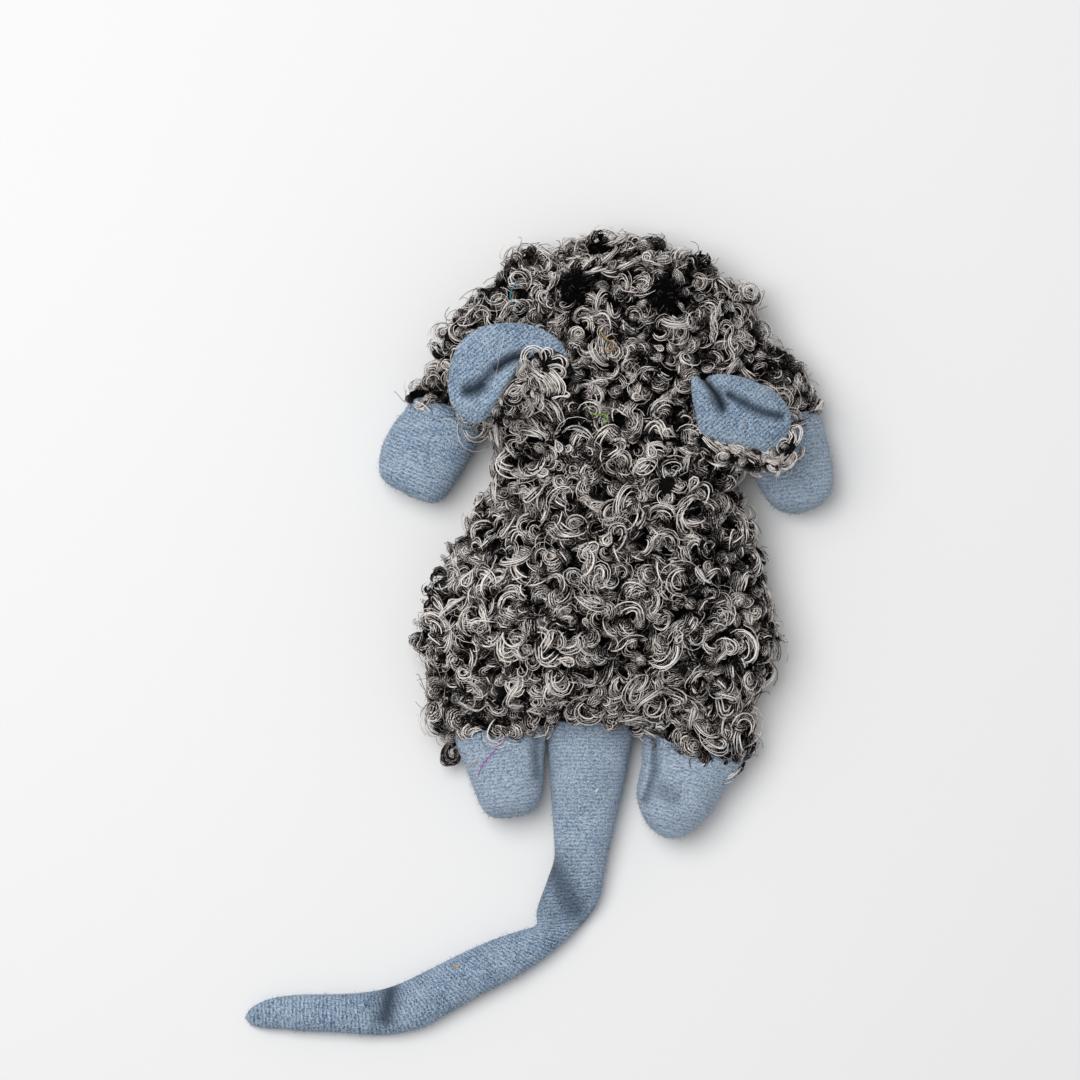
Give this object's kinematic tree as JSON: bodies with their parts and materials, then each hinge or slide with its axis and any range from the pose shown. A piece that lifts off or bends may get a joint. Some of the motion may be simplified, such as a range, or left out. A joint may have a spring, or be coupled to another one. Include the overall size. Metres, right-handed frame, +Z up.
{
  "type": "catnip mouse toy",
  "caption": "Soft catnip mouse lying on its belly: a stuffed bag of curly fabric with small eyes, folded fleece-lined ears, fleece paws and a long creased fleece tail.",
  "frame": {"origin": "on the belly's flat face, on the body's middle line, just behind the middle of the toy", "axes": "+Y from the tail towards the nose, +X to the right in the picture, +Z up from the belly to the back"},
  "size_m": [0.1093, 0.1494, 0.0305],
  "materials": {
    "curly_fabric": "long curly pile, black, grey and white mixed",
    "fleece": "brushed knit, heathered grey-blue",
    "filling": "loose fibre filling",
    "pouch_cloth": "thin cotton",
    "eye_pile": "matte short pile"
  },
  "bodies": {
    "bag": {"back_skin": "curly_fabric", "belly_skin": "curly_fabric", "upper_filling": "filling", "lower_filling": "filling", "catnip_pouch": "pouch_cloth", "left_eye": "eye_pile", "right_eye": "eye_pile", "tail_root_sleeve": "fleece", "tail_root_filling": "filling"},
    "left_front_paw": {"left_front_paw_top": "fleece", "left_front_paw_bottom": "fleece", "left_front_paw_filling": "filling"},
    "right_front_paw": {"right_front_paw_top": "fleece", "right_front_paw_bottom": "fleece", "right_front_paw_filling": "filling"},
    "left_hind_paw": {"left_hind_paw_top": "fleece", "left_hind_paw_bottom": "fleece", "left_hind_paw_filling": "filling"},
    "right_hind_paw": {"right_hind_paw_top": "fleece", "right_hind_paw_bottom": "fleece", "right_hind_paw_filling": "filling"},
    "left_ear": {"left_ear_lining": "fleece", "left_ear_back": "curly_fabric"},
    "right_ear": {"right_ear_lining": "fleece", "right_ear_back": "curly_fabric"},
    "tail_base": {"tail_base_sleeve": "fleece", "tail_base_filling": "filling"},
    "tail_middle": {"tail_middle_sleeve": "fleece", "tail_middle_filling": "filling"},
    "tail_tip": {"tail_tip_sleeve": "fleece", "tail_tip_filling": "filling"}
  },
  "joints": [
    {"name": "left_front_paw_flex", "type": "hinge", "parent": "bag", "child": "left_front_paw", "pos_m": [-0.02698, 0.03682, 0.0057], "axis": [-0.9121, 0.41, 0], "range_deg": [-25, 25], "stiffness_Nm_per_rad": 0.0015},
    {"name": "right_front_paw_flex", "type": "hinge", "parent": "bag", "child": "right_front_paw", "pos_m": [0.0342, 0.03568, 0.0057], "axis": [-0.9928, -0.12, 0], "range_deg": [-25, 25], "stiffness_Nm_per_rad": 0.0015},
    {"name": "left_hind_paw_flex", "type": "hinge", "parent": "bag", "child": "left_hind_paw", "pos_m": [-0.01914, -0.02152, 0.0057], "axis": [-0.9928, -0.12, 0], "range_deg": [-30, 30], "stiffness_Nm_per_rad": 0.0015},
    {"name": "right_hind_paw_flex", "type": "hinge", "parent": "bag", "child": "right_hind_paw", "pos_m": [0.01799, -0.02502, 0.0057], "axis": [-0.957, 0.29, 0], "range_deg": [-30, 30], "stiffness_Nm_per_rad": 0.0015},
    {"name": "tail_root_flex", "type": "hinge", "parent": "bag", "child": "tail_base", "pos_m": [-0.00199, -0.02701, 0.0042], "axis": [-1, 0, 0], "range_deg": [-15, 35]},
    {"name": "tail_middle_bend", "type": "hinge", "parent": "tail_base", "child": "tail_middle", "pos_m": [-0.00908, -0.06192, 0.003], "axis": [0, 0, 1], "range_deg": [-40, 40]},
    {"name": "tail_tip_bend", "type": "hinge", "parent": "tail_middle", "child": "tail_tip", "pos_m": [-0.03876, -0.07637, 0.003], "axis": [0, 0, 1], "range_deg": [-30, 30]},
    {"name": "left_ear_fold", "type": "hinge", "parent": "bag", "child": "left_ear", "pos_m": [-0.00822, 0.04457, 0.02721], "axis": [-0.3903, 0.9207, 0], "range_deg": [0, 75], "stiffness_Nm_per_rad": 0.001},
    {"name": "right_ear_fold", "type": "hinge", "parent": "bag", "child": "right_ear", "pos_m": [0.01842, 0.03994, 0.0256], "axis": [-0.6, -0.8, 0], "range_deg": [0, 75], "stiffness_Nm_per_rad": 0.001}
  ]
}
